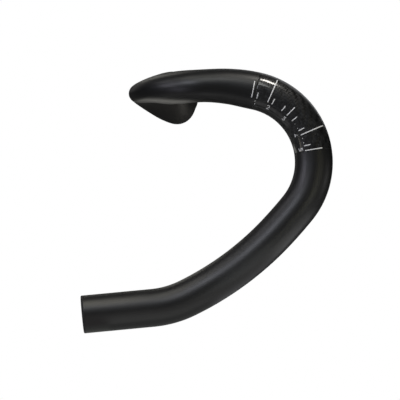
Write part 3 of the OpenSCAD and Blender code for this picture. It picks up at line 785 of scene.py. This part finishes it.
def make_digits(side):
    s = Slab()
    for d, h in NUMERALS:
        def place(x, y, lift, h=h):
            # x across the digit, y up the digit (radially outwards), both mm
            g = NUM_G + math.degrees((y - DIGIT_H / 2) / TR)
            across = (x - 0.31 * DIGIT_H) * (-side)
            hh = h + math.degrees(across / (HOOK_R + TR * sn(g)))
            hh = min(hh, H3 - 0.05)
            return surf(hh, g, TR + lift)
        for path in digit_paths(d):
            pts = [np.array(p) * DIGIT_H for p in path]
            # ribbon with mitred corners
            k = len(pts)
            L, R = [], []
            for i in range(k):
                t0 = pts[i] - pts[i - 1] if i else pts[1] - pts[0]
                t1 = pts[i + 1] - pts[i] if i < k - 1 else pts[-1] - pts[-2]
                t0, t1 = t0 / np.linalg.norm(t0), t1 / np.linalg.norm(t1)
                n0, n1 = np.array([-t0[1], t0[0]]), np.array([-t1[1], t1[0]])
                m = n0 + n1
                m = m / max(0.35, m @ n0 + 0.0) if np.linalg.norm(m) > 1e-6 else n0
                w = m * PEN / 2 * (1.0 if np.linalg.norm(m) < 2.2 else 2.2 / np.linalg.norm(m))
                L.append(pts[i] + w)
                R.append(pts[i] - w)
            base = len(s.V)
            for lift in (-s.under, s.top * 0.8):
                for i in range(k):
                    for q in (L[i], pts[i], R[i]):
                        edge = q is not pts[i] and lift > 0
                        s.V.append(place(q[0], q[1], lift * (0.55 if edge else 1.0)))
            def idx(t, i, c): return base + t * 3 * k + 3 * i + c
            for i in range(k - 1):
                for c in range(2):
                    s.F.append((idx(1, i, c), idx(1, i, c + 1), idx(1, i + 1, c + 1), idx(1, i + 1, c)))
                    s.F.append((idx(0, i, c), idx(0, i + 1, c), idx(0, i + 1, c + 1), idx(0, i, c + 1)))
                s.F.append((idx(0, i, 0), idx(1, i, 0), idx(1, i + 1, 0), idx(0, i + 1, 0)))
                s.F.append((idx(0, i, 2), idx(0, i + 1, 2), idx(1, i + 1, 2), idx(1, i, 2)))
            for i in (0, k - 1):
                s.F.append((idx(0, i, 0), idx(0, i, 1), idx(1, i, 1), idx(1, i, 0)))
                s.F.append((idx(0, i, 1), idx(0, i, 2), idx(1, i, 2), idx(1, i, 1)))
    # small guide dots between the long marks
    for h in DOTS:
        w = math.degrees(0.20 / HOOK_R)
        gw = math.degrees(0.20 / TR)
        s.grid(lambda a, g, l: surf(a, g, TR + l * 0.8), [h - w, h - 0.5 * w, h + 0.5 * w, h + w], [MARK_IN + 1.5 - gw, MARK_IN + 1.5 - gw / 2, MARK_IN + 1.5 + gw / 2, MARK_IN + 1.5 + gw])
    return s.make("right_scale_digits" if side > 0 else "tmp_digits")


ticks = make_ticks()
piece(ticks, "bar", "right_scale_marks", "white_ink", M_WHITE)
piece(mirror_obj(ticks, "left_scale_ticks"), "bar", "left_scale_marks", "white_ink")
piece(make_digits(1), "bar", "right_scale_numerals", "grey_ink", M_GREY)
tmp = make_digits(-1)
piece(mirror_obj(tmp, "left_scale_digits"), "bar", "left_scale_numerals", "grey_ink", M_GREY)
bpy.data.objects.remove(tmp)
bpy.data.objects["left_scale_digits"].data.materials.clear()
bpy.data.objects["left_scale_digits"].data.materials.append(M_GREY)


# ------------------------------------------------------------------ stem clamp area
def lathe_x(profile, n, u_scale=1.0):
    """Closed profile of (x, r) turned about the clamp's X axis."""
    V, F, UV = [], [], []
    d, dd = 0.0, []
    for i, (x, r) in enumerate(profile):
        if i:
            d += math.hypot(x - profile[i - 1][0], r - profile[i - 1][1])
        dd.append(d)
        for j in range(n):
            a = 2 * math.pi * j / n
            V.append((x, r * math.cos(a), r * math.sin(a)))
    k = len(profile)
    for i in range(k):
        i2 = (i + 1) % k
        for j in range(n):
            j2 = (j + 1) % n
            F.append((i * n + j, i * n + j2, i2 * n + j2, i2 * n + j))
            ra = profile[i][1]
            UV += [(ra * 2 * math.pi * j / n, dd[i]), (ra * 2 * math.pi * (j + 1) / n, dd[i]),
                   (ra * 2 * math.pi * (j + 1) / n, dd[i] + 0.5), (ra * 2 * math.pi * j / n, dd[i] + 0.5)]
    return np.array(V), F, UV


def make_band():
    n, ro, ri, L = 256, CLAMP_D / 2, CLAMP_D / 2 - BAND_T, CLAMP_LEN / 2
    prof = [(-L + 0.02, ri), (-L, ri + 0.04), (-L + 0.04, ro - 0.16), (-L + 0.20, ro - 0.05), (-L + 0.42, ro)]
    rng = np.random.default_rng(7)
    xs = np.arange(-L + 0.9, L - 0.6, 0.7)
    prof += [(float(x), ro) for x in xs]
    prof += [(L - 0.42, ro), (L - 0.20, ro - 0.05), (L - 0.04, ro - 0.16), (L, ri + 0.04), (L - 0.02, ri)]
    prof += [(float(x), ri) for x in np.linspace(L - 4, -L + 4, 12)]
    V, F, UV = lathe_x(prof, n)
    # grit: the face of the band is pitted by a few hundredths between its grains
    r = np.hypot(V[:, 1], V[:, 2])
    top = (r > ro - 1e-6) & (np.abs(V[:, 0]) < L - 0.6)
    g = rng.random(len(V))
    f = np.where(top, 1 - 0.055 * g ** 2 / ro, 1.0)
    V[:, 1] *= f
    V[:, 2] *= f
    ob = add_mesh("clamp_band", V, F, UV, angle=40)
    return fix_normals(ob)


piece(make_band(), "bar", "clamp_grip_band", "grip_texture", M_GRIT)


def make_clamp_marks():
    """Index lines on the front of the band, for centring the bar in the stem."""
    s = Slab(under=0.12)
    R = CLAMP_D / 2 + 0.01
    def place(x, a, lift):
        # angle a from straight forwards (-Y), towards +Z... kept symmetric
        r = R + lift
        return np.array([x, -r * cs(a), -r * sn(a)])
    for x, w, span in ((-3, 0.5, 14), (-1.5, 0.5, 9), (0, 0.7, 20), (1.5, 0.5, 9), (3, 0.5, 14)):
        xs = [x - w / 2, x - w / 2 * 0.7, x + w / 2 * 0.7, x + w / 2]
        an = lin(-span / 2, span / 2, 1.5)
        s.grid(place, xs, [an[0], an[0] + 0.3] + an[1:-1] + [an[-1] - 0.3, an[-1]])
    return s.make("clamp_index_lines")


piece(make_clamp_marks(), "bar", "clamp_centre_marks", "white_ink", M_WHITE)


# ------------------------------------------------------------------ end plugs
END = pos3(end_p)
A_IN = dir3(cs(SLOPE), sn(SLOPE))
A_O = dir3(0, 0, 1)
A_E = dir3(sn(SLOPE), -cs(SLOPE))


def plug_mesh(name, profile, n, closed=True, radial=None, angle=36.0, jitter=0.0):
    """Profile of (z, r) turned about the plug axis, z inwards from the tube end. radial(i, angle) can override r."""
    V, F, UV = [], [], []
    dd, d = [], 0.0
    for i, (z, r) in enumerate(profile):
        if i:
            d += math.hypot(z - profile[i - 1][0], r - profile[i - 1][1])
        dd.append(d)
        for j in range(n):
            a = 2 * math.pi * j / n
            rr = radial(i, a) if radial and radial(i, a) is not None else r
            V.append(END + z * A_IN + rr * (math.cos(a) * A_O + math.sin(a) * A_E))
    k = len(profile)
    for i in range(k if closed else k - 1):
        i2 = (i + 1) % k
        for j in range(n):
            j2 = (j + 1) % n
            F.append((i * n + j, i * n + j2, i2 * n + j2, i2 * n + j))
            r = max(profile[i][1], 0.5)
            v2 = dd[i2] if i2 else dd[i] + 0.5
            UV += [(r * 2 * math.pi * j / n, dd[i]), (r * 2 * math.pi * (j + 1) / n, dd[i]),
                   (r * 2 * math.pi * (j + 1) / n, v2), (r * 2 * math.pi * j / n, v2)]
    if not closed:
        F.append(tuple(range(n)))
        UV += [(0, 0)] * n
        F.append(tuple((k - 1) * n + j for j in reversed(range(n))))
        UV += [(0, 0)] * n
    ob = add_mesh(name, np.array(V), F, UV, angle=angle)
    return fix_normals(ob)


def fillet(p0, p1, p2, r, k=5):
    """Rounds the corner p1 of a profile with k points."""
    p0, p1, p2 = map(np.array, (p0, p1, p2))
    a, b = (p0 - p1) / np.linalg.norm(p0 - p1), (p2 - p1) / np.linalg.norm(p2 - p1)
    out = []
    for i in range(k + 1):
        t = i / k
        q = p1 + a * r * (1 - t) ** 2 + b * r * t ** 2
        out.append(tuple(q))
    return out


def round_profile(pts, radii):
    out = []
    n = len(pts)
    for i, r in enumerate(radii):
        if r:
            out += fillet(pts[i - 1], pts[i], pts[(i + 1) % n], r)
        else:
            out.append(tuple(pts[i]))
    return out


def densify(prof, step):
    out = []
    n = len(prof)
    for i in range(n):
        a, b = np.array(prof[i]), np.array(prof[(i + 1) % n])
        k = max(1, int(np.linalg.norm(b - a) / step))
        out += [tuple(a + (b - a) * j / k) for j in range(k)]
    return out


def make_cap():
    z0, cr, ct = PLUG_SET, BORE - 0.1, 3.6
    pts = [(z0 + 0.55, 4.38), (z0 + 0.02, 4.75), (z0 + 0.02, 6.3), (z0 + 0.34, 6.5), (z0 + 0.34, 6.95), (z0 + 0.02, 7.15),
           (z0 + 0.02, 9.35), (z0 + 0.62, cr), (z0 + ct, cr), (z0 + ct, 4.7), (z0 + ct + 3.0, 4.7), (z0 + ct + 3.0, SCREW_R + 0.15),
           (z0 + 2.65, SCREW_R + 0.15), (z0 + 2.65, 4.38)]
    prof = round_profile(pts, [0.15, 0.2, 0.12, 0.1, 0.1, 0.12, 0.35, 0.3, 0.2, 0.3, 0.25, 0.15, 0.1, 0.2])
    return plug_mesh("right_end_cap", densify(prof, 0.6), 144)


def make_rubber():
    z0, rr = PLUG_SET + 3.65, BORE - 0.08
    pts = [(z0, rr - 0.02), (z0 + RUBBER_LEN, rr - 0.02), (z0 + RUBBER_LEN, 8.15), (z0 + 9.5, 4.82), (z0, 4.82)]
    pts = round_profile(pts, [0.5, 0.5, 0.3, 1.2, 0.3])
    # moulded grip ribs round the outside, all inside the sleeve's own outline
    out = []
    for a, b in zip(pts, pts[1:] + pts[:1]):
        out.append(a)
        if abs(a[1] - (rr - 0.02)) < 1e-6 and abs(b[1] - (rr - 0.02)) < 1e-6 and b[0] - a[0] > 5:
            z = a[0] + 1.0
            while z < b[0] - 1.6:
                out += [(z, rr - 0.02), (z + 0.16, rr - 0.26), (z + 0.30, rr - 0.32), (z + 0.44, rr - 0.26), (z + 0.60, rr - 0.02), (z + 0.95, rr - 0.02)]
                z += 1.5
    return plug_mesh("right_expander", out, 120)


def make_wedge():
    wl = 12.0
    z0 = PLUG_SET + 3.6 + RUBBER_LEN - wl + 1.6
    pts = [(z0, 4.63), (z0 + wl - 2, 7.63), (z0 + wl, 7.63), (z0 + wl, SCREW_R + 0.06), (z0, SCREW_R + 0.06)]
    prof = round_profile(pts, [0.25, 0.25, 0.35, 0.3, 0.3])
    return plug_mesh("right_wedge_cone", densify(prof, 0.5), 120)


def make_screw():
    z0, hr, ht, n = PLUG_SET + 0.15, 4.2, 2.4, 144
    ap = 2.0                                  # half the key size
    def hexa(a, grow=0.0):
        m = (a % (math.pi / 3)) - math.pi / 6
        return (ap + grow) / math.cos(m)
    prof, rad = [], {}
    # socket from its bottom outwards
    prof.append((z0 + 2.30, 0.06))
    prof.append((z0 + 2.02, 1.15))
    for z in (1.92, 1.90, 1.5, 1.0, 0.6, 0.34):
        rad[len(prof)] = 0.0
        prof.append((z0 + z, 2.1))
    rad[len(prof)] = 0.10
    prof.append((z0 + 0.16, 2.2))
    prof += [(z0 + 0.06, 2.52), (z0 + 0.02, 2.62), (z0 + 0.02, 3.1)]
    prof += [(z0 + 0.02, hr - 0.62), (z0 + 0.10, hr - 0.36), (z0 + 0.30, hr - 0.12), (z0 + 0.55, hr - 0.02)]
    prof += [(z0 + z, hr - 0.02) for z in (0.9, 1.4, 1.9)] + [(z0 + ht - 0.18, hr - 0.02), (z0 + ht - 0.04, hr - 0.10), (z0 + ht, hr - 0.28)]
    prof += [(z0 + ht, SCREW_R + 0.35), (z0 + ht + 0.12, SCREW_R + 0.10), (z0 + ht + 0.40, SCREW_R)]
    prof += [(z0 + z, SCREW_R) for z in (3.5, 4.5, 5.5, 6.5, 7.5, 8.0)]
    t0, t1, pitch, depth = z0 + 8.2, z0 + 32.4, 0.8, 0.46
    z = t0
    zs = []
    while z < t1:
        zs.append(z)
        z += pitch / 9
    start = len(prof)
    prof += [(q, SCREW_R) for q in zs]
    stop = len(prof)
    prof += [(z0 + 32.6, 1.95), (z0 + 32.9, 1.75), (z0 + 33.0, 1.5), (z0 + 33.0, 0.06)]
    def radial(i, a):
        if i in rad:
            return hexa(a, rad[i])
        if start <= i < stop:
            q = prof[i][0]
            ph = ((q / pitch) - a / (2 * math.pi)) % 1.0
            tri = 1 - abs(2 * ph - 1)
            h = min(1.0, max(0.0, (tri - 0.12) / 0.76))
            fade = min(1.0, (q - t0) / 1.6, (t1 - q) / 1.2 + 0.15)
            return SCREW_R - depth * (1 - h) * max(0.0, fade) - (0.0 if q < t1 - 1.2 else 0.12 * (q - t1 + 1.2))
        return None
    return plug_mesh("right_plug_bolt", prof, n, closed=False, radial=radial, angle=33)


for make, kind, body, slot, mat in ((make_cap, "cap", "bar", "plug_plastic", M_PLASTIC), (make_rubber, "rubber", "bar", "plug_rubber", M_RUBBER),
                                    (make_wedge, "wedge", "wedge", "wedge_alloy", M_ALLOY), (make_screw, "screw", "screw", "screw_steel", M_STEEL)):
    ob = make()
    piece(ob, "bar" if body == "bar" else "right_" + body, "right_plug_" + kind, slot, mat)
    other = mirror_obj(ob, ob.name.replace("right_", "left_"))
    if kind == "screw":
        # a mirror image would cut a left-hand thread: take a turned copy of the right-hand screw instead
        me = ob.data.copy()
        me.name = other.name
        R0 = Matrix(((A_O[0], A_E[0], A_IN[0]), (A_O[1], A_E[1], A_IN[1]), (A_O[2], A_E[2], A_IN[2])))
        mo, meo, mi = [Vector((-v[0], v[1], v[2])) for v in (A_O, A_E, A_IN)]
        R1 = Matrix(((mo[0], -meo[0], mi[0]), (mo[1], -meo[1], mi[1]), (mo[2], -meo[2], mi[2])))
        Q = R1 @ R0.transposed()
        e0, e1 = Vector(END * MM), Vector((-END[0] * MM, END[1] * MM, END[2] * MM))
        for v in me.vertices:
            v.co = Q @ (v.co - e0) + e1
        me.update()
        old = other.data
        other.data = me
        bpy.data.meshes.remove(old)
    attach(other, "bar" if body == "bar" else "left_" + body)
    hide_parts("left_plug_" + kind)

# the inner sleeves keep their CAD solids and get the bare laminate
for name in ("right_joint_spigot", "left_joint_spigot", "clamp_core_sleeve"):
    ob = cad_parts[name]
    if not ob.material_slots:
        ob.data.materials.append(M_RAW)
    for s in ob.material_slots:
        s.link = "OBJECT"
        s.material = M_RAW


# ------------------------------------------------------------------ floor, light, camera
FLOOR_BOUNCE = (0.10, 0.10, 0.10)


def make_floor():
    g = Mat("pale_floor")
    p = g.obj()
    n1 = g.noise(p, 0.004, 3.0, 0.5)
    n2 = g.noise(p, 0.8, 2.0, 0.5)
    base = g.mixc(g.ramp(n1, 0.3, 0.7), (0.80, 0.80, 0.795), (0.84, 0.84, 0.838))
    # the floor looks pale but throws little light back, like a sheet standing well below the object
    cam_ray = g.n("ShaderNodeLightPath", out=0)
    base = g.mixc(cam_ray, FLOOR_BOUNCE, (0.26, 0.26, 0.259))
    g.set(base=base, rough=g.add(0.72, g.mul(n2, 0.15)), normal=g.bump(n2, 0.15, 0.00004), spec=0.1)
    # the far floor stays pale as well, as on a lit sweep
    glow = g.mixc(g.ramp(n1, 0.3, 0.7), (0.745, 0.745, 0.742), (0.765, 0.765, 0.763))
    g.put(g.b.inputs["Emission Color"], glow)
    g.put(g.b.inputs["Emission Strength"], cam_ray)
    z, r, k = -153.6, 4200.0, 48
    V = [(0, 0, z)] + [(r * math.cos(2 * math.pi * i / k), r * math.sin(2 * math.pi * i / k), z) for i in range(k)]
    F = [(0, 1 + i, 1 + (i + 1) % k) for i in range(k)]
    ob = add_mesh("studio_floor", V, F, smooth=False)
    ob.data.materials.append(g.m)
    ob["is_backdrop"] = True
    return ob


make_floor()
CENTRE = Vector((-0.20, -0.017, -0.066))


def softbox(name, direction, dist, sx, sy, power, col):
    """direction: where the light stands, as (towards the camera side, forwards-left of the view, up) = (-X, +Y, +Z)."""
    d = Vector((-direction[0], direction[1], direction[2])).normalized()
    li = bpy.data.lights.new(name, "AREA")
    li.shape, li.size, li.size_y = "RECTANGLE", sx, sy
    li.energy, li.color = power, col
    ob = bpy.data.objects.new(name, li)
    scene.collection.objects.link(ob)
    ob.location = CENTRE + d * dist
    ob.rotation_euler = (-d).to_track_quat("-Z", "Y").to_euler()
    ob.visible_camera = False
    return ob


def panel(name, at, to, sx, sy, power, col):
    """A small bounce card that glows: stands at one point (mm) and faces another."""
    ob = softbox(name, (0, 0, 1), 1.0, sx, sy, power, col)
    ob.location = Vector(at) * MM
    ob.rotation_euler = (Vector(to) - Vector(at)).to_track_quat("-Z", "Y").to_euler()
    return ob


# The studio: soft boxes stand 1.5 m off. (name, direction in the CAD frame, side in metres, watts, colour)
for name, d, side, watts, col in (
        ("box_top", (-0.280, 0.257, 0.925), 0.50, 2.00, (1.00, 0.99, 0.91)),
        ("box_high", (-0.622, -0.110, 0.775), 0.50, 2.70, (0.98, 1.00, 0.97)),
        ("box_rear_high", (-0.192, 0.713, 0.675), 0.50, 1.44, (0.98, 0.96, 1.00)),
        ("box_far_side", (0.769, 0.281, 0.575), 0.50, 0.80, (1.00, 0.98, 0.90)),
        ("box_camera_high", (-0.787, 0.325, 0.525), 0.50, 5.05, (0.87, 0.90, 1.00)),
        ("window_rear", (-0.553, 0.787, 0.275), 0.50, 3.66, (0.88, 0.87, 1.00)),
        ("box_front", (-0.641, -0.768, -0.025), 0.50, 0.78, (1.00, 0.97, 0.77)),
        ("overhead_front", (-0.160, -0.339, 0.927), 0.26, 5.90, (1.00, 0.96, 0.90))):
    softbox(name, (-d[0], d[1], d[2]), 1.5, side, side, watts, col)
# Two weak fills stand on the rider's left, for the half that the side camera doesn't see.
softbox("fill_left", (-0.80, -0.30, 0.50), 2.0, 1.2, 1.2, 1.6, (0.97, 0.98, 1.00))
softbox("fill_left_rear", (-0.70, 0.60, 0.35), 2.0, 1.2, 1.2, 1.1, (1.00, 0.98, 0.96))
# Bounce cards lie on the floor and glow upwards. (name, x, y in mm, watts, colour)
for name, x, y, watts, col in (
        ("card_a", -260, -160, 0.0240, (1.00, 1.00, 0.97)), ("card_b", -200, -160, 0.0245, (0.97, 0.98, 1.00)),
        ("card_c", -260, -80, 0.0087, (1.00, 0.98, 0.96)), ("card_d", -200, -80, 0.0105, (0.97, 0.97, 1.00)),
        ("card_e", -260, 0, 0.0066, (1.00, 0.98, 0.96)), ("card_f", -200, 0, 0.0051, (0.98, 1.00, 0.99)),
        ("card_g", -260, 80, 0.0052, (1.00, 0.93, 0.93)), ("card_h", -200, 80, 0.0070, (0.97, 1.00, 0.95))):
    panel(name, (x, y, -152.5), (x, y, 900), 0.08, 0.08, watts, col)
# Small cards stand low in front and close to the bar. (name, place, aim in mm, sides in metres, watts, colour)
for name, at, to, sx, sy, watts, col in (
        ("card_low", (-450, -250, -130), (-200, -17, -66), 0.12, 0.08, 0.0413, (0.96, 0.99, 1.00)),
        ("card_low_front", (-200, -380, -100), (-200, -17, -66), 0.12, 0.08, 0.0328, (1.00, 0.99, 0.97)),
        ("card_far_front", (-750, -400, -100), (-200, -17, -66), 0.12, 0.08, 0.0698, (1.00, 0.93, 0.44)),
        ("card_under_wing", (-130, 20, -50), (-130, 20, 1000), 0.06, 0.06, 0.0101, (1.00, 0.99, 0.92)),
        ("card_barrel", (-100, -50, -50), (-30, 0, -10), 0.05, 0.05, 0.055, (1.00, 0.95, 0.85)),
        ("card_corner", (-270, 40, -30), (-200, 10, 0), 0.04, 0.04, 0.0055, (0.83, 0.81, 1.00)),
        ("card_palm", (-260, -60, -120), (-210, -40, -100), 0.05, 0.05, 0.0035, (0.91, 0.96, 1.00)),
        ("card_grip", (-260, 50, -60), (-210, 30, -137), 0.05, 0.05, 0.0104, (1.00, 0.93, 0.74))):
    panel(name, at, to, sx, sy, watts, col)

world = bpy.data.worlds.new("studio")
scene.world = world
world.use_nodes = True
wt = world.node_tree
wt.nodes.clear()
wo = wt.nodes.new("ShaderNodeOutputWorld")
lp = wt.nodes.new("ShaderNodeLightPath")
mixw = wt.nodes.new("ShaderNodeMixShader")
seen, amb = wt.nodes.new("ShaderNodeBackground"), wt.nodes.new("ShaderNodeBackground")
seen.inputs[0].default_value, seen.inputs[1].default_value = (1, 1, 1, 1), 1.0
amb.inputs[0].default_value, amb.inputs[1].default_value = (0.96, 0.98, 1.0, 1), 0.004
wt.links.new(lp.outputs["Is Camera Ray"], mixw.inputs[0])
wt.links.new(amb.outputs[0], mixw.inputs[1])
wt.links.new(seen.outputs[0], mixw.inputs[2])
wt.links.new(mixw.outputs[0], wo.inputs[0])

cam_data = bpy.data.cameras.new("side_camera")
cam = bpy.data.objects.new("side_camera", cam_data)
scene.collection.objects.link(cam)
scene.camera = cam
cam_data.type = "ORTHO"
cam_data.ortho_scale = 0.2548
cam_data.clip_start, cam_data.clip_end = 0.01, 50.0
cam.location = (-2.0, -0.0169, -0.0657)
cam.rotation_euler = (math.radians(90), 0, math.radians(-90))
# another viewpoint stands nearer, and takes in the whole bar
dr = cam_data.driver_add("ortho_scale").driver
dr.type = "SCRIPTED"
va = dr.variables.new()
va.name, va.type = "x", "TRANSFORMS"
va.targets[0].id = cam
va.targets[0].transform_type, va.targets[0].transform_space = "LOC_X", "WORLD_SPACE"
dr.expression = "0.2548 if x < -1.5 else 0.56"

scene.view_settings.view_transform = "Standard"
scene.view_settings.look = "None"
scene.view_settings.exposure = 0.0
scene.view_settings.gamma = 1.0

new_lo, new_hi = [tuple(v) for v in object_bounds()]
{"cad": [list(map(float, cad_lo)), list(map(float, cad_hi))], "visual": [list(map(float, new_lo)), list(map(float, new_hi))]}
